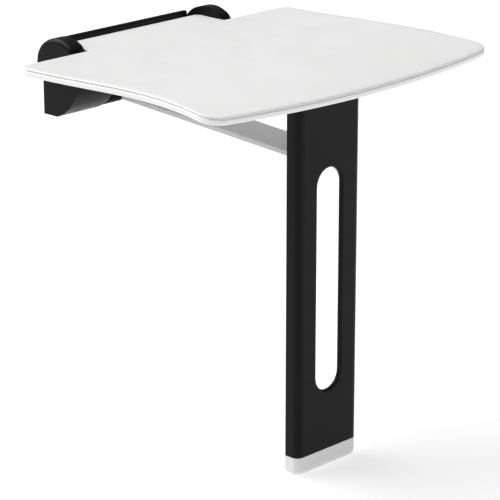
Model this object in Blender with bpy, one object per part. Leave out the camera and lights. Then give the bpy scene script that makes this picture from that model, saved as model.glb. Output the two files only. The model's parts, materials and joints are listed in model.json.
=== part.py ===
"""Wall-hung folding shower seat with a floor leg.

Metres, +Z up.  The wall is the plane Y = 0, the seat reaches towards -Y, and the
origin is the centre of the wall plate's back face.
"""
import math

import bmesh
import bpy
from mathutils import Vector

# ---- driving dimensions -------------------------------------------------------
GAP = 0.0003                 # clearance between neighbouring pieces
RUN = 0.00005                # radial running clearance of pins and axles

SEAT_TOP = 0.044             # top of the seat at its rear shoulders
SEAT_REAR = 0.075            # reach of the shoulders from the wall
SEAT_DEPTH = 0.352           # shoulders to the middle of the front edge
SEAT_HALF = 0.222            # half width at the rear
SEAT_FLARE = 0.012           # extra half width at the front corners
SEAT_THICK = 0.010
SEAT_RISE = 0.4501           # quadratic term of the top's side profile
SEAT_FALL = 1.2714           # cubic term of the top's side profile
SEAT_CROWN = 0.065           # side droop, per metre of width squared, full at the front
FRONT_BOW = 0.4988           # how far the front edge falls back, per width squared
CORNER_FRONT = 0.025
CORNER_REAR = 0.015
TONGUE_HALF = 0.112

HINGE_REACH = 0.032          # main hinge axis from the wall
HINGE_Z = 0.022
ROLL_ANGLE = math.radians(65)
ROLL_R = SEAT_TOP - HINGE_Z

LEG_PIN_REACH = 0.345
LINK_SLOPE = math.radians(3.3)
LEG_PIN_Z = HINGE_Z - (LEG_PIN_REACH - HINGE_REACH) * math.tan(LINK_SLOPE)
LINK_DROP = 0.057            # both link pins sit this far below the upper pivots

LEG_FRONT = 0.3586
LEG_REAR = 0.3386
LEG_HALF = 0.052
LEG_PLATE = 0.0053
LEG_FLANGE = 0.004
LEG_TOP = 0.033
LEG_END = -0.412
FOOT_BOTTOM = -0.436
SLOT_HALF = 0.0205
SLOT_TOP = -0.065
SLOT_END = -0.338
SLOT_RIM = 0.003

BRACKET_HALF = 0.1206
BRACKET_BOTTOM = -0.045
BAY_HALF = 0.057             # central bay the folded leg drops into
CHEEK_IN = 0.114
CHEEK_OUT = 0.1335
AXLE_R = 0.006
PIN_R = 0.004
EYE_R = 0.0058               # round the pins of the leg and the link
SCREW_R = 0.002
BUFFER_Z = 0.0350            # height of the rubber stops on the lip
BUFFER_X = 0.09

RAIL_IN = 0.062              # side range of the two rails under the seat
RAIL_OUT = 0.076
RAIL_BOTTOM = 0.018
RAIL_START = 0.062
RAIL_END = 0.314
RAIL_POCKETS = 3             # lightening windows in each rail
POCKET_PITCH = 0.075
POCKET_LENGTH = 0.060
KNUCKLE_OUT = 0.1118
KNUCKLE_R = 0.0113
BLOCK_BOTTOM = 0.0345        # underside of the leg's hinge block, whose top follows the seat
SCREW_COVER = 0.0045         # seat left above the tip of each seat screw
BLOCK_RANGE = (0.318, 0.376)
BLOCK_HALF = 0.078
LUG_X = 0.035                # middle of each lug under the hinge block
LUG_HALF = 0.005

EAR_R = 0.0062
EAR_C = (0.0415, 0.0465)     # side range of the ears that carry the leg pin
EAR_D = (0.0285, 0.0325)     # side range of the ears that carry the link's front pin
PIVOT_PLATE_HALF = 0.0435
PIVOT_PLATE = 0.0018         # thickness of the plate inside the leg
LINK_HALF = 0.027
LINK_THICK = 0.007

BUSH_WALL = 0.0012
BUSH_HALF = 0.0045           # half length of each hinge bush
HEAD = 0.0022                # height of the small screws' heads
HEAD_R = 0.004
SHANK_R = 0.0019             # foot screws
FOOT_ROUND = 0.008           # radius of the foot's lower edge
PAST = 0.01                  # how far a cutter runs past the face it opens
SHARP_ANGLE = math.radians(30)

# ---- materials ------------------------------------------------------------------
FINISHES = {
    "white_shell": ((0.86, 0.86, 0.85), 0.28, 0.0),
    "foot_white": ((0.78, 0.78, 0.77), 0.4, 0.0),
    "link_grey": ((0.62, 0.63, 0.64), 0.35, 0.0),
    "black_satin": ((0.018, 0.018, 0.02), 0.42, 0.0),
    "black_moulding": ((0.02, 0.02, 0.021), 0.5, 0.0),
    "steel": ((0.6, 0.6, 0.6), 0.3, 1.0),
    "zinc_plate": ((0.5, 0.5, 0.51), 0.45, 1.0),
    "bush_polymer": ((0.7, 0.68, 0.6), 0.5, 0.0),
    "rubber": ((0.05, 0.05, 0.05), 0.8, 0.0),
    "grey_rubber": ((0.4, 0.4, 0.4), 0.8, 0.0),
}


def new_material(node, finish):
    colour, roughness, metallic = FINISHES[finish]
    material = bpy.data.materials.new(node)
    material.use_nodes = True
    shader = material.node_tree.nodes["Principled BSDF"]
    shader.inputs["Base Color"].default_value = (*colour, 1.0)
    shader.inputs["Roughness"].default_value = roughness
    shader.inputs["Metallic"].default_value = metallic
    return material


# ---- mesh helpers -----------------------------------------------------------------
def at(x, reach, z):
    """A point from its side position, its reach from the wall and its height."""
    return Vector((x, -reach, z))


def clean(bm):
    bmesh.ops.recalc_face_normals(bm, faces=bm.faces)


def loft(bm, rings):
    """A closed solid through rings of equal length, capped at both ends."""
    loops = [[bm.verts.new(p) for p in ring] for ring in rings]
    count = len(loops[0])
    for low, high in zip(loops, loops[1:]):
        for i in range(count):
            j = (i + 1) % count
            bm.faces.new((low[i], low[j], high[j], high[i]))
    bm.faces.new(loops[0])
    bm.faces.new(loops[-1])
    clean(bm)


def arc(centre, radius, start, end, steps):
    """Points on an arc, angles in degrees."""
    points = []
    for i in range(steps + 1):
        angle = math.radians(start + (end - start) * i / steps)
        points.append((centre[0] + radius * math.cos(angle), centre[1] + radius * math.sin(angle)))
    return points


def circle(centre, radius, steps=24):
    return arc(centre, radius, 0, 360 - 360 / steps, steps - 1)


def smooth(points, steps):
    """A Catmull-Rom curve through the points, with the ends held."""
    held = [points[0]] + list(points) + [points[-1]]
    curve = [points[0]]
    for a, b, c, d in zip(held, held[1:], held[2:], held[3:]):
        for i in range(1, steps + 1):
            t = i / steps
            place = []
            for k in range(2):
                flat = 2 * b[k] + (c[k] - a[k]) * t
                bend = (2 * a[k] - 5 * b[k] + 4 * c[k] - d[k]) * t ** 2
                twist = (3 * b[k] - a[k] - 3 * c[k] + d[k]) * t ** 3
                place.append((flat + bend + twist) / 2)
            curve.append(tuple(place))
    return curve


def along_x(outline, low, high):
    """Rings of a (reach, z) outline between two side positions."""
    return [[at(x, r, z) for r, z in outline] for x in (low, high)]


def along_z(outline, low, high):
    """Rings of an (x, reach) outline between two heights."""
    return [[at(x, r, z) for x, r in outline] for z in (low, high)]


def rectangle(low_a, high_a, low_b, high_b):
    return [(low_a, low_b), (high_a, low_b), (high_a, high_b), (low_a, high_b)]


def box_rings(x0, x1, r0, r1, z0, z1):
    return along_x(rectangle(r0, r1, z0, z1), x0, x1)


def disc_x(radius, reach, z, low, high, steps=48):
    return along_x(circle((reach, z), radius, steps), low, high)


def disc_y(radius, x, z, low, high, steps=32):
    return [[at(a, r, b) for a, b in circle((x, z), radius, steps)] for r in (low, high)]


def disc_z(radius, x, reach, low, high, steps=32):
    return [[at(a, b, z) for a, b in circle((x, reach), radius, steps)] for z in (low, high)]


def mesh_object(name, groups):
    """An object made of one closed solid for each group of rings."""
    bm = bmesh.new()
    for rings in groups:
        loft(bm, rings)
    mesh = bpy.data.meshes.new(name)
    bm.to_mesh(mesh)
    bm.free()
    obj = bpy.data.objects.new(name, mesh)
    bpy.context.collection.objects.link(obj)
    return obj


def end_edges(obj, half, width, segments, wanted=lambda vertex: True):
    """Round the edges of the end faces that lie at the side position +half or -half."""
    bm = bmesh.new()
    bm.from_mesh(obj.data)
    rim = []
    for edge in bm.edges:
        a, b = edge.verts
        flat = abs(a.co.x - b.co.x) < 1e-6 and abs(abs(a.co.x) - half) < 1e-6
        if flat and wanted(a) and wanted(b):
            rim.append(edge)
    bmesh.ops.bevel(bm, geom=rim, offset=width, segments=segments, profile=0.5, affect="EDGES",
                    clamp_overlap=True)
    bm.to_mesh(obj.data)
    bm.free()


def combine(obj, groups, operation):
    """Add a Boolean modifier to the object for every group of rings."""
    for rings in groups:
        label = f"{operation.lower()}_{len(obj.modifiers)}"
        tool = mesh_object(f"{obj.name}_{label}", [rings])
        tool.hide_render = True
        tool.display_type = "WIRE"
        modifier = obj.modifiers.new(label, "BOOLEAN")
        modifier.operation = operation
        modifier.solver = "EXACT"
        modifier.object = tool


def cut(obj, groups):
    combine(obj, groups, "DIFFERENCE")


def join(obj, groups):
    combine(obj, groups, "UNION")


def bake(obj):
    """Apply the object's modifiers and remove the solids they used."""
    graph = bpy.context.evaluated_depsgraph_get()
    mesh = bpy.data.meshes.new_from_object(obj.evaluated_get(graph))
    tools = [m.object for m in obj.modifiers if m.type == "BOOLEAN"]
    obj.modifiers.clear()
    obj.data = mesh
    for tool in tools:
        bpy.data.objects.remove(tool)


def finish(obj, look, axis, origin=(0, 0, 0)):
    """Bake, shade, colour and place an object under its body's empty."""
    bake(obj)
    origin = Vector(origin)
    obj.data.transform(obj.matrix_world)
    for vertex in obj.data.vertices:
        vertex.co -= origin
    obj.data.shade_smooth()
    obj.data.set_sharp_from_angle(angle=SHARP_ANGLE)
    obj.data.materials.clear()
    obj.data.materials.append(new_material(obj.name, look))
    obj.parent = axis
    obj.location = origin - axis.location
    return obj


def axis_empty(name, point):
    empty = bpy.data.objects.new(name, None)
    empty.location = point
    empty.empty_display_size = 0.05
    bpy.context.collection.objects.link(empty)
    return empty


# ---- seat -----------------------------------------------------------------------------
def seat_height(x, depth):
    """Top of the seat above its shoulders, before the tongue rolls down."""
    if depth <= 0:
        return 0.0
    droop = SEAT_CROWN * (x * depth / SEAT_DEPTH) ** 2
    return SEAT_RISE * depth ** 2 - SEAT_FALL * depth ** 3 - droop


def seat_half(depth):
    flare = min(1.0, max(0.0, (depth - 0.16) / 0.165))
    return SEAT_HALF + SEAT_FLARE * flare ** 2


def front_depth(x):
    return SEAT_DEPTH - FRONT_BOW * x ** 2


def fillet(before, corner, after, radius, steps):
    """Points of a round corner between two straight sides."""
    corner = Vector(corner)
    u = (Vector(before) - corner).normalized()
    v = (Vector(after) - corner).normalized()
    half = u.angle(v) / 2
    reach = radius / math.tan(half)
    centre = corner + (u + v).normalized() * radius / math.sin(half)
    start = corner + u * reach - centre
    end = corner + v * reach - centre
    sweep = start.angle_signed(end)
    points = []
    for i in range(steps + 1):
        turn = -sweep * i / steps
        c = math.cos(turn)
        s = math.sin(turn)
        points.append((centre.x + start.x * c - start.y * s, centre.y + start.x * s + start.y * c))
    return points


def seat_outline():
    """Half of the (x, depth) outline from the tongue to the front, then its mirror."""
    tail = -(SEAT_REAR - HINGE_REACH) - ROLL_R * ROLL_ANGLE
    corner_x = SEAT_HALF + SEAT_FLARE
    corner = (corner_x, front_depth(corner_x))
    half = [(TONGUE_HALF, tail), (TONGUE_HALF, tail / 2)]
    half += fillet((TONGUE_HALF, tail), (TONGUE_HALF, 0), (SEAT_HALF, 0), 0.003, 3)
    half += fillet((TONGUE_HALF, 0), (SEAT_HALF, 0), (SEAT_HALF, 0.1), CORNER_REAR, 7)
    steps = 12
    for i in range(1, steps):
        depth = 0.02 + (corner[1] - CORNER_FRONT - 0.03) * i / steps
        half.append((seat_half(depth), depth))
    near = (seat_half(corner[1] - 0.04), corner[1] - 0.04)
    half += fillet(near, corner, (corner_x - 0.04, front_depth(corner_x - 0.04)), CORNER_FRONT, 8)
    for i in range(1, 9):
        x = (corner_x - CORNER_FRONT - 0.004) * (1 - i / 8)
        half.append((x, front_depth(x)))
    return half + [(-x, depth) for x, depth in reversed(half[:-1])]


def seat_point(x, depth, below):
    """Bend a flat seat point onto the arched top and round the hinge."""
    roll_start = HINGE_REACH - SEAT_REAR
    if depth >= roll_start:
        return at(x, SEAT_REAR + depth, SEAT_TOP + seat_height(x, depth) - below)
    angle = (roll_start - depth) / ROLL_R
    radius = ROLL_R - below
    return at(x, HINGE_REACH - radius * math.sin(angle), HINGE_Z + radius * math.cos(angle))


def build_seat_shell(axis):
    bm = bmesh.new()
    outline = seat_outline()
    rim = [(0.0013, 0.0), (0.0004, 0.0003), (0.0, 0.0012)]
    rim += [(0.0, 0.0078), (0.0009, 0.0093), (0.0028, SEAT_THICK)]
    count = len(outline)
    normals = []
    for i in range(count):
        a = Vector(outline[i - 1])
        b = Vector(outline[(i + 1) % count])
        run = (b - a).normalized()
        normals.append(Vector((-run.y, run.x)))
    rings = []
    for inset, below in rim:
        ring = [Vector(p) + n * inset for p, n in zip(outline, normals)]
        rings.append([Vector((p.x, p.y, -below)) for p in ring])
    loft(bm, rings)
    cuts = [(-0.224 + 0.032 * i, "x") for i in range(15)]
    cuts += [(-0.0665 + 0.0055 * i, "y") for i in range(5)]
    cuts += [(-0.02 + 0.02 * i, "y") for i in range(19)]
    for place, direction in cuts:
        normal = (1, 0, 0) if direction == "x" else (0, 1, 0)
        point = (place, 0, 0) if direction == "x" else (0, place, 0)
        everything = bm.verts[:] + bm.edges[:] + bm.faces[:]
        bmesh.ops.bisect_plane(bm, geom=everything, plane_co=point, plane_no=normal, dist=1e-6)
    for vertex in bm.verts:
        vertex.co = seat_point(vertex.co.x, vertex.co.y, -vertex.co.z)
    bmesh.ops.triangulate(bm, faces=[f for f in bm.faces if len(f.verts) > 4])
    clean(bm)
    mesh = bpy.data.meshes.new("seat_shell")
    bm.to_mesh(mesh)
    bm.free()
    obj = bpy.data.objects.new("seat_shell", mesh)
    bpy.context.collection.objects.link(obj)
    holes = []
    for x, reach, _ in seat_screw_places():
        depth_end = seat_underside(x, reach) + SEAT_THICK - SCREW_COVER + 0.001
        holes.append(disc_z(SCREW_R + GAP, x, reach, 0.02, depth_end, 16))
    cut(obj, holes)
    finish(obj, "white_shell", axis, axis.location)


def seat_underside(x, reach):
    return SEAT_TOP + seat_height(x, reach - SEAT_REAR) - SEAT_THICK


# ---- seat underframe ------------------------------------------------------------------
def seat_screw_places():
    """Side position, reach and the height of the face under each seat screw's head."""
    places = []
    for side in (-1, 1):
        places.append((side * 0.094, 0.053, 0.024))
        for reach in (0.326, 0.368):
            places.append((side * 0.066, reach, BLOCK_BOTTOM))
    return places


def build_seat_frame(axis):
    for side, word in ((-1, "left"), (1, "right")):
        xs = sorted((side * RAIL_IN, side * RAIL_OUT))
        steps = 14
        outline = [(RAIL_START, RAIL_BOTTOM), (RAIL_END - 0.012, RAIL_BOTTOM)]
        outline.append((RAIL_END, RAIL_BOTTOM + 0.008))
        for i in range(steps + 1):
            reach = RAIL_END + (RAIL_START - RAIL_END) * i / steps
            outline.append((reach, seat_underside(RAIL_OUT, reach) - 2 * GAP))
        rail = mesh_object(f"seat_rail_{word}", [along_x(outline, *xs)])
        pockets = []
        for i in range(RAIL_POCKETS):
            start = 0.085 + POCKET_PITCH * i
            hollow = rectangle(start, start + POCKET_LENGTH, RAIL_BOTTOM + 0.004, RAIL_BOTTOM + 0.014)
            pockets.append(along_x(hollow, xs[0] - PAST, xs[1] + PAST))
        cut(rail, pockets)
        finish(rail, "zinc_plate", axis, (side * (RAIL_IN + RAIL_OUT) / 2, -RAIL_START, RAIL_BOTTOM))

        xs = sorted((side * RAIL_IN, side * KNUCKLE_OUT))
        tail = arc((HINGE_REACH, HINGE_Z), KNUCKLE_R, 85, 270, 16)
        top = SEAT_TOP - SEAT_THICK - GAP
        outline = tail + [(0.038, HINGE_Z - KNUCKLE_R), (0.0615, 0.0200), (0.0615, top)]
        outline.append((0.034, top - 0.0004))
        knuckle = mesh_object(f"hinge_knuckle_{word}", [along_x(outline, *xs)])
        x, reach, face = [p for p in seat_screw_places() if p[0] * side > 0][0]
        holes = [disc_x(AXLE_R + 0.0015, HINGE_REACH, HINGE_Z, xs[0] - PAST, xs[1] + PAST)]
        holes.append(disc_z(0.005, x, reach, 0.0, face))
        holes.append(disc_z(SCREW_R + GAP, x, reach, 0.02, 0.05, 16))
        cut(knuckle, holes)
        finish(knuckle, "black_satin", axis, (0, -HINGE_REACH, HINGE_Z))


def build_leg_hinge_block(axis):
    low, high = BLOCK_RANGE
    outline = [(low, BLOCK_BOTTOM), (high, BLOCK_BOTTOM)]
    steps = 6
    for i in range(steps + 1):
        reach = high + (low - high) * i / steps
        outline.append((reach, seat_underside(BLOCK_HALF, reach) - 2 * GAP))
    block = mesh_object("leg_hinge_block", [along_x(outline, -BLOCK_HALF, BLOCK_HALF)])
    lug_top = BLOCK_BOTTOM + 0.003
    eye = arc((LEG_PIN_REACH, LEG_PIN_Z), EYE_R, 180, 360, 16)
    eye += [(LEG_PIN_REACH + EYE_R, lug_top), (LEG_PIN_REACH - EYE_R, lug_top)]
    join(block, [along_x(eye, side * LUG_X - LUG_HALF, side * LUG_X + LUG_HALF) for side in (-1, 1)])
    holes = [disc_x(PIN_R + RUN, LEG_PIN_REACH, LEG_PIN_Z, -0.06, 0.06)]
    for x, reach, face in seat_screw_places():
        if face == BLOCK_BOTTOM:
            holes.append(disc_z(SCREW_R + GAP, x, reach, 0.02, 0.06, 16))
    cut(block, holes)
    finish(block, "zinc_plate", axis, (0, -LEG_PIN_REACH, LEG_PIN_Z))


def build_seat_screws(axis):
    for number, (x, reach, face) in enumerate(seat_screw_places(), 1):
        seat_z = face - GAP
        ring_radii = ((seat_z - HEAD, 0.7 * HEAD_R), (seat_z - 0.6 * HEAD, 0.95 * HEAD_R), (seat_z, HEAD_R))
        rings = []
        for z, radius in ring_radii:
            rings.append([at(a, b, z) for a, b in circle((x, reach), radius)])
        tip = seat_underside(x, reach) + SEAT_THICK - SCREW_COVER
        for z in (seat_z, tip):
            rings.append([at(a, b, z) for a, b in circle((x, reach), SCREW_R)])
        finish(mesh_object(f"seat_screw_{number}", [rings]), "steel", axis, at(x, reach, face))


# ---- wall bracket -----------------------------------------------------------------------
def bracket_outline():
    """Side profile (reach, z) of the housing: flat back, swept-up front."""
    swept = [(0.0240, BRACKET_BOTTOM), (0.0360, -0.0390), (0.0480, -0.0290), (0.0570, -0.0150),
             (0.0620, 0.0000), (0.0640, 0.0150)]
    return [(0.0005, BRACKET_BOTTOM)] + smooth(swept, 4) + [(0.0640, 0.0230), (0.0005, 0.0230)]


def cheek_outline(grow=0.0):
    """Lens-shaped side profile of the hinge cheeks, from the wall over to the nose."""
    top = [(0.0012, 0.0220), (0.0032, 0.0330), (0.0092, 0.0425), (0.0188, 0.0498), (0.0305, 0.0540),
           (0.0415, 0.0552), (0.0535, 0.0530), (0.0650, 0.0474), (0.0700, 0.0390)]
    low = [(0.0700, 0.0390), (0.0640, 0.0240), (0.0520, 0.0110), (0.0340, 0.0060), (0.0160, 0.0060),
           (0.0012, 0.0090)]
    middle = Vector((0.035, 0.030))
    points = []
    for p in smooth(top, 3) + smooth(low, 2)[1:]:
        out = Vector(p) - middle
        points.append(tuple(Vector(p) + out.normalized() * grow))
    return points


def build_bracket(axis):
    housing = mesh_object("bracket_housing", [along_x(bracket_outline(), -BRACKET_HALF, BRACKET_HALF)])
    end_edges(housing, BRACKET_HALF, 0.003, 3, lambda v: -v.co.y > 0.0239 and v.co.z < 0.0151)
    inner = CHEEK_IN - 0.0006
    cuts = [
        box_rings(-BAY_HALF, BAY_HALF, 0.0135, 0.09, -0.06, 0.06),
        disc_x(ROLL_R + 0.002, HINGE_REACH, HINGE_Z, -inner, inner, 64),
        box_rings(-inner, inner, 0.0085, 0.09, 0.0155, 0.06),
        box_rings(-inner, inner, -0.01, 0.0085, 0.030, 0.06),
        box_rings(-0.100, 0.100, -0.01, 0.0046, -0.036, 0.024),
        disc_x(PIN_R + RUN, HINGE_REACH, HINGE_Z - LINK_DROP, -0.0655, 0.0655),
    ]
    for side in (-1, 1):
        xs = sorted((side * 0.066, side * 0.108))
        pocket = [(-PAST, -0.036), (0.026, -0.036), (0.040, -0.026), (0.046, -0.012), (0.046, -0.009)]
        pocket.append((-PAST, -0.009))
        cuts.append(along_x(pocket, *xs))
        xs = sorted((side * (CHEEK_IN - 2 * GAP), side * 0.13))
        cuts.append(along_x(cheek_outline(GAP), *xs))
        cuts.append(box_rings(*xs, -0.01, 0.09, 0.0145, 0.06))
    for x, z in wall_screw_places():
        cuts.append(disc_y(0.0085, x, z, 0.004, 0.02))
    cut(housing, cuts)
    finish(housing, "black_satin", axis, (0, 0, 0))

    lip_outline = [(0.0006, 0.0306), (0.0070, 0.0306), (0.0078, 0.0314), (0.0078, 0.0426), (0.0068, 0.0442),
                   (0.0050, 0.0448), (0.0022, 0.0448), (0.0006, 0.0432)]
    lip = mesh_object("upper_lip", [along_x(lip_outline, -CHEEK_IN + 0.0008, CHEEK_IN - 0.0008)])
    finish(lip, "black_moulding", axis, (0, 0, 0.03))

    for side, word in ((-1, "left"), (1, "right")):
        xs = sorted((side * CHEEK_IN, side * CHEEK_OUT))
        cheek = mesh_object(f"hinge_cheek_{word}", [along_x(cheek_outline(), *xs)])
        end_edges(cheek, CHEEK_OUT, 0.006, 4)
        bore = sorted((side * (CHEEK_IN - 0.01), side * 0.1285))
        cut(cheek, [disc_x(AXLE_R + RUN, HINGE_REACH, HINGE_Z, *bore)])
        finish(cheek, "black_moulding", axis, (side * CHEEK_IN, -HINGE_REACH, HINGE_Z))


def wall_screw_places():
    return [(x, z) for x in (-0.045, 0.045) for z in (-0.022, 0.018)]


def build_wall_plate(axis):
    plate = mesh_object("wall_plate", [box_rings(-0.0995, 0.0995, 0.0, 0.0040, -0.0352, 0.0232)])
    cut(plate, [disc_y(0.0035, x, z, -0.01, 0.02, 24) for x, z in wall_screw_places()])
    finish(plate, "zinc_plate", axis, (0, 0, 0))
    for number, (x, z) in enumerate(wall_screw_places(), 1):
        rings = []
        shank = ((0.0010, 0.0032), (0.0060, 0.0032))
        for reach, radius in shank + ((0.0060, 0.0060), (0.0078, 0.0057), (0.0090, 0.0042)):
            rings.append([at(a, reach, b) for a, b in circle((x, z), radius)])
        finish(mesh_object(f"wall_screw_{number}", [rings]), "steel", axis, at(x, 0.006, z))
        ring = mesh_object(f"wall_washer_{number}", [disc_y(0.0075, x, z, 0.0043, 0.0057)])
        cut(ring, [disc_y(0.0035, x, z, 0.0, 0.01, 24)])
        finish(ring, "steel", axis, at(x, 0.005, z))


def build_main_axles(base, seat):
    for side, word in ((-1, "left"), (1, "right")):
        xs = sorted((side * 0.0625, side * 0.1282))
        axle = mesh_object(f"hinge_axle_{word}", [disc_x(AXLE_R, HINGE_REACH, HINGE_Z, *xs)])
        finish(axle, "steel", base, (side * 0.095, -HINGE_REACH, HINGE_Z))
        for place, label in ((0.0665, "inner"), (0.1070, "outer")):
            low, high = sorted((side * (place - BUSH_HALF), side * (place + BUSH_HALF)))
            sleeve = disc_x(AXLE_R + BUSH_WALL, HINGE_REACH, HINGE_Z, low, high)
            bush = mesh_object(f"hinge_bush_{label}_{word}", [sleeve])
            cut(bush, [disc_x(AXLE_R + RUN, HINGE_REACH, HINGE_Z, low - PAST, high + PAST)])
            finish(bush, "bush_polymer", seat, (side * place, -HINGE_REACH, HINGE_Z))
        low, high = sorted((side * (KNUCKLE_OUT + GAP), side * (CHEEK_IN - GAP)))
        washer = mesh_object(f"thrust_washer_{word}", [disc_x(0.0105, HINGE_REACH, HINGE_Z, low, high)])
        cut(washer, [disc_x(AXLE_R + RUN, HINGE_REACH, HINGE_Z, low - PAST, high + PAST)])
        finish(washer, "bush_polymer", seat, (side * CHEEK_IN, -HINGE_REACH, HINGE_Z))


def build_fold_buffers(axis):
    for side, word in ((-1, "left"), (1, "right")):
        rings = []
        for reach, radius in ((0.0081, 0.0030), (0.0089, 0.0030), (0.0094, 0.0022)):
            rings.append([at(a, reach, b) for a, b in circle((side * BUFFER_X, BUFFER_Z), radius)])
        buffer = mesh_object(f"fold_buffer_{word}", [rings])
        finish(buffer, "rubber", axis, at(side * BUFFER_X, 0.0081, BUFFER_Z))


# ---- leg ----------------------------------------------------------------------------------
def leg_outline(half, front, rear, wall, plate):
    """U-channel section (x, reach): round front corners, open towards the wall."""
    radius = 0.009
    inner_radius = 0.004
    outer = [(-half, rear)]
    outer += arc((-half + radius, front - radius), radius, 180, 90, 6)
    outer += arc((half - radius, front - radius), radius, 90, 0, 6)
    outer += [(half, rear)]
    inside = half - wall
    back = front - plate
    inner = [(inside, rear)]
    inner += arc((inside - inner_radius, back - inner_radius), inner_radius, 0, 90, 4)
    inner += arc((-inside + inner_radius, back - inner_radius), inner_radius, 90, 180, 4)
    inner += [(-inside, rear)]
    return outer + inner


def stadium(half, low, high, steps=14):
    """Full-round slot outline (x, z)."""
    top = arc((0, high - SLOT_HALF), half, 0, 180, steps)
    bottom = arc((0, low + SLOT_HALF), half, 180, 360, steps)
    return top + bottom


def slot_cutter():
    rings = [[at(x, 0.33, z) for x, z in stadium(SLOT_HALF, SLOT_END, SLOT_TOP)]]
    steps = 4
    for i in range(steps + 1):
        angle = math.radians(90 * i / steps)
        reach = LEG_FRONT - SLOT_RIM * (1 - math.sin(angle))
        grow = SLOT_RIM * (1 - math.cos(angle))
        rings.append([at(x, reach, z) for x, z in stadium(SLOT_HALF + grow, SLOT_END, SLOT_TOP)])
    wide = stadium(SLOT_HALF + SLOT_RIM, SLOT_END, SLOT_TOP)
    rings.append([at(x, LEG_FRONT + 0.01, z) for x, z in wide])
    return rings


def build_leg(axis):
    outline = leg_outline(LEG_HALF, LEG_FRONT, LEG_REAR, LEG_FLANGE, LEG_PLATE)
    leg = mesh_object("leg_channel", [along_z(outline, LEG_END + GAP, LEG_TOP)])
    cut(leg, [slot_cutter()])
    finish(leg, "black_satin", axis, axis.location)

    back = LEG_FRONT - LEG_PLATE - GAP
    link_z = LEG_PIN_Z - LINK_DROP
    side_view = rectangle(back - PIVOT_PLATE, back, link_z - 0.007, LEG_PIN_Z + 0.014)
    plate = along_x(side_view, -PIVOT_PLATE_HALF, PIVOT_PLATE_HALF)
    bracket = mesh_object("leg_pivot_bracket", [plate])
    ears = []
    for side in (-1, 1):
        ears.append((LEG_PIN_Z, sorted((side * EAR_C[0], side * EAR_C[1]))))
        ears.append((link_z, sorted((side * EAR_D[0], side * EAR_D[1]))))
    for z, xs in ears:
        ear = arc((LEG_PIN_REACH, z), EAR_R, 90, 270, 14)
        ear += [(back - 0.001, z - EAR_R), (back - 0.001, z + EAR_R)]
        join(bracket, [along_x(ear, *xs)])
    cut(bracket, [disc_x(PIN_R + RUN, LEG_PIN_REACH, LEG_PIN_Z, -0.06, 0.06),
                  disc_x(PIN_R + RUN, LEG_PIN_REACH, link_z, -0.06, 0.06)])
    finish(bracket, "zinc_plate", axis, axis.location)

    pin = mesh_object("leg_pin", [disc_x(PIN_R, LEG_PIN_REACH, LEG_PIN_Z, -0.0472, 0.0472, 40)])
    finish(pin, "steel", axis, axis.location)
    pin = mesh_object("link_front_pin", [disc_x(PIN_R, LEG_PIN_REACH, link_z, -0.0345, 0.0345, 40)])
    finish(pin, "steel", axis, (0, -LEG_PIN_REACH, link_z))


def build_foot(axis):
    outline = leg_outline(LEG_HALF, LEG_FRONT, LEG_REAR, LEG_FLANGE, LEG_PLATE)[:16]
    middle = Vector((0, (LEG_FRONT + LEG_REAR) / 2))
    rings = [[at(x, r, LEG_END) for x, r in outline]]
    steps = 6
    bottom = FOOT_BOTTOM + 0.0008
    for i in range(steps + 1):
        angle = math.radians(84 * i / steps)
        z = bottom + FOOT_ROUND * (1 - math.sin(angle))
        inset = FOOT_ROUND * (1 - math.cos(angle))
        ring = []
        for x, r in outline:
            scale_x = (LEG_HALF - inset) / LEG_HALF
            half_depth = (LEG_FRONT - LEG_REAR) / 2
            scale_r = (half_depth - inset * 0.85) / half_depth
            ring.append(at(x * scale_x, middle.y + (r - middle.y) * scale_r, z))
        rings.append(ring)
    foot = mesh_object("foot_cap", [rings])
    inside = LEG_HALF - LEG_FLANGE - GAP
    back = LEG_FRONT - LEG_PLATE - GAP
    spigot = rectangle(-inside + 0.004, inside - 0.004, LEG_REAR + 0.001, back)
    join(foot, [along_z(spigot, LEG_END - 0.002, LEG_END + 0.030)])
    screws = [(side * 0.03, LEG_END + 0.018) for side in (-1, 1)]
    cut(foot, [disc_y(0.0022, x, z, LEG_REAR - 0.01, LEG_REAR + 0.0135, 16) for x, z in screws])
    finish(foot, "foot_white", axis, (0, -LEG_REAR, LEG_END))

    for number, (x, z) in enumerate(screws, 1):
        rings = []
        head = ((-0.0015, 0.75 * HEAD_R), (-0.0003, HEAD_R), (0.0007, HEAD_R))
        for depth, radius in head + ((0.0007, SHANK_R), (0.0128, SHANK_R)):
            rings.append([at(a, LEG_REAR + depth, b) for a, b in circle((x, z), radius)])
        finish(mesh_object(f"foot_screw_{number}", [rings]), "steel", axis, at(x, LEG_REAR, z))

    pad = rectangle(-0.038, 0.038, LEG_REAR + 0.0065, LEG_FRONT - 0.0065)
    sole = mesh_object("foot_sole", [along_z(pad, FOOT_BOTTOM, FOOT_BOTTOM + 0.0005)])
    finish(sole, "grey_rubber", axis, (0, -LEG_PIN_REACH, FOOT_BOTTOM))


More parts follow.
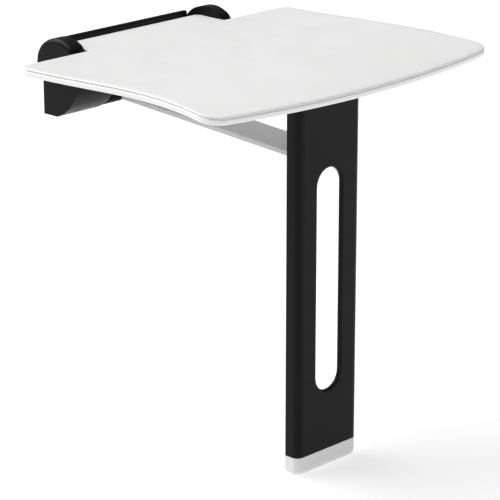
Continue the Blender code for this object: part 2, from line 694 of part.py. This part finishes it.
# ---- link arm ------------------------------------------------------------------------------
def build_link(link_axis, base):
    rear = Vector((HINGE_REACH, HINGE_Z - LINK_DROP))
    front = Vector((LEG_PIN_REACH, LEG_PIN_Z - LINK_DROP))
    run = (front - rear).normalized()
    side = Vector((-run.y, run.x))
    half = LINK_THICK / 2
    tilt = math.degrees(math.atan2(run.y, run.x))
    open_half = math.degrees(math.asin(half / EYE_R))
    outline = arc(rear, EYE_R, tilt + open_half, tilt + 360 - open_half, 18)
    outline += arc(front, EYE_R, tilt - 180 + open_half, tilt + 180 - open_half, 18)
    link = mesh_object("link_arm", [along_x(outline, -LINK_HALF, LINK_HALF)])
    end_edges(link, LINK_HALF, 0.0015, 3)
    holes = [disc_x(PIN_R + RUN, *rear, -0.06, 0.06), disc_x(PIN_R + 0.0003, *front, -0.06, 0.06)]
    cut(link, holes)
    finish(link, "link_grey", link_axis, link_axis.location)

    pin = mesh_object("link_rear_pin", [disc_x(PIN_R, *rear, -0.0652, 0.0652, 40)])
    finish(pin, "steel", base, (0, -rear.x, rear.y))
    for way, word in ((-1, "left"), (1, "right")):
        low, high = sorted((way * (LINK_HALF + GAP), way * (BAY_HALF - GAP)))
        spacer = mesh_object(f"link_spacer_{word}", [disc_x(0.0056, *rear, low, high, 32)])
        cut(spacer, [disc_x(PIN_R + RUN, *rear, low - PAST, high + PAST)])
        finish(spacer, "black_moulding", base, (way * 0.042, -rear.x, rear.y))


def main():
    for obj in list(bpy.data.objects):
        bpy.data.objects.remove(obj)
    base = axis_empty("wall_bracket_body", (0, 0, 0))
    seat = axis_empty("seat_hinge_axis", at(0, HINGE_REACH, HINGE_Z))
    leg = axis_empty("leg_hinge_axis", at(0, LEG_PIN_REACH, LEG_PIN_Z))
    link = axis_empty("link_hinge_axis", at(0, HINGE_REACH, HINGE_Z - LINK_DROP))
    bpy.context.view_layer.update()
    build_wall_plate(base)
    build_bracket(base)
    build_fold_buffers(base)
    build_main_axles(base, seat)
    build_seat_shell(seat)
    build_seat_frame(seat)
    build_leg_hinge_block(seat)
    build_seat_screws(seat)
    build_leg(leg)
    build_foot(leg)
    build_link(link, base)


main()
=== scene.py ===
"""Looks of the wall-hung folding shower seat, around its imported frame."""
import json
import math

import bmesh
import bpy
from mathutils import Euler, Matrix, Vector


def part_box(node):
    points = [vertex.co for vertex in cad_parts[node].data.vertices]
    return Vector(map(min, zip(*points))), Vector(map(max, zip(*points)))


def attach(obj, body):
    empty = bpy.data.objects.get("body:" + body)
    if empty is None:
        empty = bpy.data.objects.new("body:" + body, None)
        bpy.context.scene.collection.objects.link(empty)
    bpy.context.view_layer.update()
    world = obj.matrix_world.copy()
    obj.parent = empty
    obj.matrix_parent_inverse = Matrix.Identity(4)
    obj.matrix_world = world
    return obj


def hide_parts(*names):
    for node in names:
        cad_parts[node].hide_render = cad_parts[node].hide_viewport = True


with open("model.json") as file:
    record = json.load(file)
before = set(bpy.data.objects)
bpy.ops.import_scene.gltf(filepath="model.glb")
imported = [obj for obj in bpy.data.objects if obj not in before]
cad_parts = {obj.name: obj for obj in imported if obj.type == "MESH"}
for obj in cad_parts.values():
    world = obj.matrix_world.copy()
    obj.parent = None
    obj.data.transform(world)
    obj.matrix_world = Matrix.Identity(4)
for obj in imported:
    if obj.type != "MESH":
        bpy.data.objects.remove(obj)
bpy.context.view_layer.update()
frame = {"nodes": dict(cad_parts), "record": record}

NODES = frame["nodes"]

# ---- camera ---------------------------------------------------------------------------
CAMERA_PLACE = (-2.0326, -2.2206, 0.7403)
CAMERA_YAW = math.radians(45.59)
CAMERA_PITCH = math.radians(-18.18)
CAMERA_LENS = 180.3


def make_camera():
    data = bpy.data.cameras.new("camera")
    data.lens = CAMERA_LENS
    data.sensor_width = 36
    data.dof.use_dof = False
    camera = bpy.data.objects.new("camera", data)
    camera.location = CAMERA_PLACE
    camera.rotation_euler = Euler((math.pi / 2 + CAMERA_PITCH, 0, -CAMERA_YAW))
    bpy.context.collection.objects.link(camera)
    bpy.context.scene.camera = camera


# ---- materials -------------------------------------------------------------------------
NOISE_DETAIL = 3.0
EDGE_START = 0.82            # bevelled and true normals this far apart get the full edge colour, partly rubbed paint and partly a painted highlight
EDGE_END = 0.995
GRAIN_DEPTH = 0.00001        # metres
ORANGE_PEEL = 700            # noise scale of the powder coat's bumps


class Nodes:
    """A small builder for one material's node tree."""

    def __init__(self, name):
        self.material = bpy.data.materials.new(name)
        self.material.use_nodes = True
        self.tree = self.material.node_tree
        self.shader = self.tree.nodes["Principled BSDF"]
        coords = self.tree.nodes.new("ShaderNodeTexCoord")
        self.place = coords.outputs["Object"]

    def noise(self, scale, detail=NOISE_DETAIL, stretch=None):
        place = self.place
        if stretch:
            mapping = self.tree.nodes.new("ShaderNodeMapping")
            mapping.inputs["Scale"].default_value = stretch
            self.tree.links.new(self.place, mapping.inputs["Vector"])
            place = mapping.outputs["Vector"]
        node = self.tree.nodes.new("ShaderNodeTexNoise")
        node.inputs["Scale"].default_value = scale
        node.inputs["Detail"].default_value = detail
        self.tree.links.new(place, node.inputs["Vector"])
        return node.outputs["Fac"]

    def spread(self, value, low, high, start=0.3, end=0.7):
        node = self.tree.nodes.new("ShaderNodeMapRange")
        node.inputs["From Min"].default_value = start
        node.inputs["From Max"].default_value = end
        node.inputs["To Min"].default_value = low
        node.inputs["To Max"].default_value = high
        self.tree.links.new(value, node.inputs["Value"])
        return node.outputs["Result"]

    def mix(self, factor, a, b):
        node = self.tree.nodes.new("ShaderNodeMix")
        node.data_type = "RGBA"
        for socket, colour in (("A", a), ("B", b)):
            target = [s for s in node.inputs if s.name == socket and s.type == "RGBA"][0]
            if isinstance(colour, tuple):
                target.default_value = (*colour, 1.0)
            else:
                self.tree.links.new(colour, target)
        self.tree.links.new(factor, node.inputs[0])
        return [s for s in node.outputs if s.type == "RGBA"][0]

    def edge(self, radius):
        """1 where the surface turns sharply, where edges take rubbed paint and a painted highlight."""
        bevel = self.tree.nodes.new("ShaderNodeBevel")
        bevel.inputs["Radius"].default_value = radius
        bevel.samples = 4
        geometry = self.tree.nodes.new("ShaderNodeNewGeometry")
        dot = self.tree.nodes.new("ShaderNodeVectorMath")
        dot.operation = "DOT_PRODUCT"
        self.tree.links.new(bevel.outputs["Normal"], dot.inputs[0])
        self.tree.links.new(geometry.outputs["Normal"], dot.inputs[1])
        return self.spread(dot.outputs["Value"], 1.0, 0.0, EDGE_START, EDGE_END)

    def bump(self, height, strength, distance):
        node = self.tree.nodes.new("ShaderNodeBump")
        node.inputs["Strength"].default_value = strength
        node.inputs["Distance"].default_value = distance
        self.tree.links.new(height, node.inputs["Height"])
        self.tree.links.new(node.outputs["Normal"], self.shader.inputs["Normal"])

    def put(self, name, value):
        socket = self.shader.inputs[name]
        if isinstance(value, (int, float)):
            socket.default_value = value
        elif isinstance(value, tuple):
            socket.default_value = (*value, 1.0)
        else:
            self.tree.links.new(value, socket)


def moulded_plastic(name, colour, shade, roughness, grain=260, gloss=0.5):
    """Moulded plastic: faint mottling, fine grain and slight changes of gloss."""
    n = Nodes(name)
    n.put("Base Color", n.mix(n.spread(n.noise(9, 1), 0, 1, 0.1, 0.9), colour, shade))
    n.put("Roughness", n.spread(n.noise(26, 1), roughness - 0.05, roughness + 0.07, 0.1, 0.9))
    n.put("Specular IOR Level", gloss)
    if grain:
        n.bump(n.noise(grain, 2), 0.1, GRAIN_DEPTH)
    return n.material


def powder_coat(name, colour, wear_and_highlight, roughness, gloss=0.5):
    """Powder-coated metal: orange peel, fine speckle and edges a little brighter, partly rubbed paint and
    partly a painted highlight.
    """
    n = Nodes(name)
    lighter = tuple(c * 1.06 for c in colour)
    speckle = n.mix(n.spread(n.noise(420, 3), 0, 1, 0.42, 0.62), colour, lighter)
    # edges take a lighter colour: partly rubbed paint, partly a painted highlight
    n.put("Base Color", n.mix(n.edge(0.0012), speckle, wear_and_highlight))
    n.put("Roughness", n.spread(n.noise(60, 4), roughness - 0.05, roughness + 0.07))
    n.put("Specular IOR Level", gloss)
    n.bump(n.noise(ORANGE_PEEL, 2), 0.15, GRAIN_DEPTH)
    return n.material


def turned_metal(name, colour, shade, roughness, stretch):
    """Machined or plated metal with fine marks along one direction."""
    n = Nodes(name)
    marks = n.noise(260, 5, stretch)
    n.put("Base Color", n.mix(n.spread(marks, 0, 1), colour, shade))
    n.put("Metallic", 1.0)
    n.put("Roughness", n.spread(marks, roughness - 0.08, roughness + 0.1))
    n.bump(marks, 0.15, GRAIN_DEPTH)
    return n.material


def soft_rubber(name, colour, shade):
    n = Nodes(name)
    n.put("Base Color", n.mix(n.spread(n.noise(120, 4), 0, 1), colour, shade))
    n.put("Roughness", n.spread(n.noise(300, 3), 0.7, 0.9))
    n.bump(n.noise(1500, 2), 0.4, 0.00004)
    return n.material


BLACK = (0.004, 0.0042, 0.0046)
# edge colour of the black coat: partly rubbed paint, partly a painted highlight
BLACK_WEAR_AND_HIGHLIGHT = (0.02, 0.0205, 0.022)
BLACK_PLASTIC = (0.004, 0.004, 0.0043)
BLACK_MOTTLE = (0.007, 0.007, 0.0075)
BLACK_GLOSS = 0.12

MATERIALS = {
    "white_shell": moulded_plastic("white_shell", (0.90, 0.90, 0.895), (0.885, 0.885, 0.88), 0.30, grain=0),
    "foot_white": moulded_plastic("foot_white", (0.78, 0.78, 0.775), (0.76, 0.76, 0.755), 0.34),
    # its second colour lightens the edges: partly rubbed paint, partly a painted highlight
    "link_grey": powder_coat("link_grey", (0.60, 0.605, 0.61), (0.70, 0.705, 0.71), 0.36),
    "black_satin": powder_coat("black_satin", BLACK, BLACK_WEAR_AND_HIGHLIGHT, 0.36, BLACK_GLOSS),
    "black_moulding": moulded_plastic("black_moulding", BLACK_PLASTIC, BLACK_MOTTLE, 0.38, 1200, BLACK_GLOSS),
    "steel": turned_metal("steel", (0.62, 0.62, 0.61), (0.5, 0.5, 0.5), 0.3, (0.2, 1, 1)),
    "zinc_plate": turned_metal("zinc_plate", (0.55, 0.55, 0.56), (0.42, 0.42, 0.44), 0.42, (1, 0.3, 1)),
    "bush_polymer": moulded_plastic("bush_polymer", (0.66, 0.63, 0.54), (0.6, 0.57, 0.48), 0.5),
    "rubber": soft_rubber("rubber", (0.02, 0.02, 0.02), (0.035, 0.035, 0.035)),
    "grey_rubber": soft_rubber("grey_rubber", (0.32, 0.32, 0.31), (0.38, 0.38, 0.37)),
}


# ---- pieces ---------------------------------------------------------------------------
def add_piece(name, bm, finish, sharp):
    """Link a finished bmesh as a shaded piece with its material."""
    mesh = bpy.data.meshes.new(name)
    bm.to_mesh(mesh)
    bm.free()
    mesh.shade_smooth()
    mesh.set_sharp_from_angle(angle=math.radians(sharp))
    mesh.materials.append(MATERIALS[finish])
    piece = bpy.data.objects.new(name, mesh)
    bpy.context.collection.objects.link(piece)
    return piece


# ---- seat plate ---------------------------------------------------------------------------
SEAT_TOP = 0.044
SEAT_REAR = 0.075
SEAT_DEPTH = 0.352
SEAT_HALF = 0.222
SEAT_FLARE = 0.012
SEAT_THICK = 0.010
SEAT_RISE = 0.4501
SEAT_FALL = 1.2714
SEAT_DROOP = 0.065
FRONT_BOW = 0.4988
TONGUE_HALF = 0.112
HINGE_REACH = 0.032
HINGE_Z = 0.022
ROLL_R = SEAT_TOP - HINGE_Z
ROLL_ANGLE = math.radians(64.5)
CORNER_X = SEAT_HALF + SEAT_FLARE
SEAT_GRID = 0.011            # spacing of the top's mesh lines
FLARE_START = 0.16           # depth at which the sides begin to widen
FLARE_LENGTH = 0.165
TAIL_CORNER = 0.002          # corner radii of the outline
INNER_CORNER = 0.003
REAR_CORNER = 0.015
FRONT_CORNER = 0.025
SIDE_STEPS = 30
FRONT_STEPS = 20
SEAT_SHARP = 28              # degrees


def front_depth(x):
    return SEAT_DEPTH - FRONT_BOW * x ** 2


def seat_half(depth):
    flare = min(1.0, max(0.0, (depth - FLARE_START) / FLARE_LENGTH))
    return SEAT_HALF + SEAT_FLARE * flare ** 2


def fillet(before, corner, after, radius, steps):
    """Points of a round corner between two straight sides."""
    corner = Vector(corner)
    u = (Vector(before) - corner).normalized()
    v = (Vector(after) - corner).normalized()
    half = u.angle(v) / 2
    reach = radius / math.tan(half)
    centre = corner + (u + v).normalized() * radius / math.sin(half)
    start = corner + u * reach - centre
    end = corner + v * reach - centre
    sweep = start.angle_signed(end)
    points = []
    for i in range(steps + 1):
        turn = -sweep * i / steps
        c = math.cos(turn)
        s = math.sin(turn)
        points.append((centre.x + start.x * c - start.y * s, centre.y + start.x * s + start.y * c))
    return points


def seat_outline():
    """Closed (x, depth) outline: the right half from tongue to front, then its mirror."""
    tail = HINGE_REACH - SEAT_REAR - ROLL_R * ROLL_ANGLE
    corner = (CORNER_X, front_depth(CORNER_X))
    half = fillet((0, tail), (TONGUE_HALF, tail), (TONGUE_HALF, 0), TAIL_CORNER, 4)
    half += fillet((TONGUE_HALF, tail), (TONGUE_HALF, 0), (SEAT_HALF, 0), INNER_CORNER, 5)
    half += fillet((TONGUE_HALF, 0), (SEAT_HALF, 0), (SEAT_HALF, 0.1), REAR_CORNER, 12)
    for i in range(1, SIDE_STEPS):
        depth = 0.02 + (corner[1] - 0.055) * i / SIDE_STEPS
        half.append((seat_half(depth), depth))
    near = (seat_half(corner[1] - 0.04), corner[1] - 0.04)
    half += fillet(near, corner, (CORNER_X - 0.04, front_depth(CORNER_X - 0.04)), FRONT_CORNER, 16)
    for i in range(1, FRONT_STEPS + 1):
        x = (CORNER_X - 0.029) * (1 - i / FRONT_STEPS)
        half.append((x, front_depth(x)))
    return half + [(-x, depth) for x, depth in reversed(half[:-1])]


def seat_point(x, depth, below):
    """Bend a flat seat point onto the arched top and round the hinge."""
    roll_start = HINGE_REACH - SEAT_REAR
    if depth < roll_start:
        angle = (roll_start - depth) / ROLL_R
        radius = ROLL_R - below
        return Vector((x, -HINGE_REACH + radius * math.sin(angle), HINGE_Z + radius * math.cos(angle)))
    rise = 0.0
    if depth > 0:
        rise = SEAT_RISE * depth ** 2 - SEAT_FALL * depth ** 3 - SEAT_DROOP * (x * depth / SEAT_DEPTH) ** 2
    return Vector((x, -SEAT_REAR - depth, SEAT_TOP + rise - below))


def rim_profile():
    """(inset, depth below the top) down the rim: crisp top edge, parting groove, flat side, soft bottom."""
    top = [(0.0013, 0.0), (0.0004, 0.0003), (0.0, 0.0009), (0.0, 0.0014)]
    groove = [(0.0020, 0.0018), (0.0022, 0.0030), (0.0006, 0.0036), (0.0, 0.0042)]
    bottom = [(0.0, 0.0078), (0.0004, 0.0089), (0.0013, 0.0097), (0.0028, SEAT_THICK)]
    return top + groove + bottom


def outward_normals(outline):
    normals = []
    for i, point in enumerate(outline):
        run = (Vector(outline[(i + 1) % len(outline)]) - Vector(outline[i - 1])).normalized()
        normals.append(Vector((-run.y, run.x)))
    return normals


def build_seat():
    outline = seat_outline()
    normals = outward_normals(outline)
    bm = bmesh.new()
    loops = []
    for inset, below in rim_profile():
        ring = [Vector(p) + n * inset for p, n in zip(outline, normals)]
        loops.append([bm.verts.new((p.x, p.y, -below)) for p in ring])
    count = len(outline)
    for low, high in zip(loops, loops[1:]):
        for i in range(count):
            j = (i + 1) % count
            bm.faces.new((low[i], low[j], high[j], high[i]))
    bm.faces.new(loops[0])
    bm.faces.new(loops[-1])
    for axis in (0, 1):
        span = [v.co[axis] for v in bm.verts]
        place = min(span) + SEAT_GRID / 2
        while place < max(span):
            everything = bm.verts[:] + bm.edges[:] + bm.faces[:]
            point = [0, 0, 0]
            normal = [0, 0, 0]
            point[axis] = place
            normal[axis] = 1
            bmesh.ops.bisect_plane(bm, geom=everything, plane_co=point, plane_no=normal, dist=1e-6)
            place += SEAT_GRID
    for vertex in bm.verts:
        vertex.co = seat_point(vertex.co.x, vertex.co.y, -vertex.co.z)
    bmesh.ops.recalc_face_normals(bm, faces=bm.faces)
    seat = add_piece("seat_plate", bm, "white_shell", SEAT_SHARP)
    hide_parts("seat_shell")
    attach(seat, "seat")


# ---- screws -------------------------------------------------------------------------------
SCREW_SIDES = 24
THREAD_PITCH = 0.0008        # spacing of the shank's ridges, which are rings
SMALL_HEAD = 0.0022          # head heights
WALL_HEAD = 0.0030
SCREW_SHARP = 30             # degrees


def hexagon(angle, across):
    """Radius of a hexagon at an angle, for its socket wall."""
    sector = math.radians(60)
    return across / math.cos((angle + sector / 2) % sector - sector / 2)


def build_screw(node, body, along, outward, head):
    """A domed hex-socket screw with a ridged shank, inside the CAD screw's box.

    along is the index of its axis, outward the direction that its head faces.
    """
    low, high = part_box(node)
    centre = (Vector(low) + Vector(high)) / 2
    across = [i for i in range(3) if i != along]
    radius = (high[across[0]] - low[across[0]]) / 2
    length = high[along] - low[along]
    face = high[along] if outward > 0 else low[along]
    socket = radius * 0.42
    rings = [(head * 0.6, socket * 0.98, True), (0.0001, socket, True), (0.0, socket * 1.3, False)]
    rings += [(0.0, radius * 0.66, False), (head * 0.2, radius * 0.88, False), (head * 0.6, radius, False)]
    rings += [(head, radius, False), (head, radius * 0.47, False)]
    ridges = int((length - head) / THREAD_PITCH)
    for i in range(ridges):
        start = head + THREAD_PITCH * (i + 0.2)
        rings += [(start, radius * 0.43, False), (start + THREAD_PITCH / 2, radius * 0.48, False)]
    rings.append((length, radius * 0.36, False))
    bm = bmesh.new()
    loops = []
    for depth, size, is_hex in rings:
        loop = []
        for i in range(SCREW_SIDES):
            angle = math.tau * i / SCREW_SIDES
            reach = hexagon(angle, size) if is_hex else size
            place = centre.copy()
            place[across[0]] += reach * math.cos(angle)
            place[across[1]] += reach * math.sin(angle)
            place[along] = face - outward * depth
            loop.append(bm.verts.new(place))
        loops.append(loop)
    for a, b in zip(loops, loops[1:]):
        for i in range(SCREW_SIDES):
            j = (i + 1) % SCREW_SIDES
            bm.faces.new((a[i], a[j], b[j], b[i]))
    bm.faces.new(loops[0])
    bm.faces.new(loops[-1])
    bmesh.ops.recalc_face_normals(bm, faces=bm.faces)
    piece = add_piece(f"{node}_detail", bm, "steel", SCREW_SHARP)
    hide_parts(node)
    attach(piece, body)


def build_screws():
    for i in range(1, 7):
        build_screw(f"seat_screw_{i}", "seat", 2, -1, SMALL_HEAD)
    for i in range(1, 5):
        build_screw(f"wall_screw_{i}", "bracket", 1, -1, WALL_HEAD)
    for i in range(1, 3):
        build_screw(f"foot_screw_{i}", "leg", 1, 1, SMALL_HEAD)


def dress_frame():
    """Give every carried-over node its node material."""
    slots = {part["node"]: part["material_slot"] for part in frame["record"]["subparts"]}
    for name, node in NODES.items():
        material = MATERIALS[slots[name]]
        for slot in node.material_slots:
            slot.material = material


# ---- light and stage ---------------------------------------------------------------------
FLOOR_GLOW = 0.65            # a light table: the floor shines a little, which keeps its shadows faint
FLOOR_HALF = 6.0
SKY = 0.25


def area_light(name, place, target, size, power):
    data = bpy.data.lights.new(name, "AREA")
    data.shape = "DISK"
    data.size = size
    data.energy = power
    lamp = bpy.data.objects.new(name, data)
    lamp.location = place
    lamp.rotation_euler = (Vector(target) - Vector(place)).to_track_quat("-Z", "Y").to_euler()
    bpy.context.collection.objects.link(lamp)


def sun_light(name, towards, strength, angle):
    data = bpy.data.lights.new(name, "SUN")
    data.energy = strength
    data.angle = math.radians(angle)
    lamp = bpy.data.objects.new(name, data)
    lamp.rotation_euler = Vector(towards).to_track_quat("Z", "Y").to_euler()
    bpy.context.collection.objects.link(lamp)


def make_stage():
    floor_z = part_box("foot_sole")[0][2]
    mesh = bpy.data.meshes.new("floor")
    signs = ((-1, -1), (1, -1), (1, 1), (-1, 1))
    corners = [(FLOOR_HALF * x, FLOOR_HALF * y, floor_z) for x, y in signs]
    mesh.from_pydata(corners, [], [(0, 1, 2, 3)])
    floor = bpy.data.objects.new("floor", mesh)
    bpy.context.collection.objects.link(floor)
    n = Nodes("floor")
    n.put("Base Color", n.mix(n.noise(2, 2), (0.46, 0.46, 0.46), (0.44, 0.44, 0.44)))
    n.put("Roughness", 0.9)
    n.put("Specular IOR Level", 0.0)
    n.put("Emission Color", (1.0, 1.0, 1.0))
    n.put("Emission Strength", FLOOR_GLOW)
    mesh.materials.append(n.material)
    world = bpy.data.worlds.new("studio")
    world.use_nodes = True
    world.node_tree.nodes["Background"].inputs["Color"].default_value = (1, 1, 1, 1)
    world.node_tree.nodes["Background"].inputs["Strength"].default_value = SKY
    scene = bpy.context.scene
    scene.world = world
    scene.view_settings.view_transform = "Standard"
    middle = (0, -0.25, -0.1)
    sun_light("overhead", (-0.4, 0.8, 1.0), 3.5, 60)
    area_light("front", (0.5, -2.6, 0.1), middle, 1.0, 6)


make_camera()
make_stage()
dress_frame()
build_seat()
build_screws()
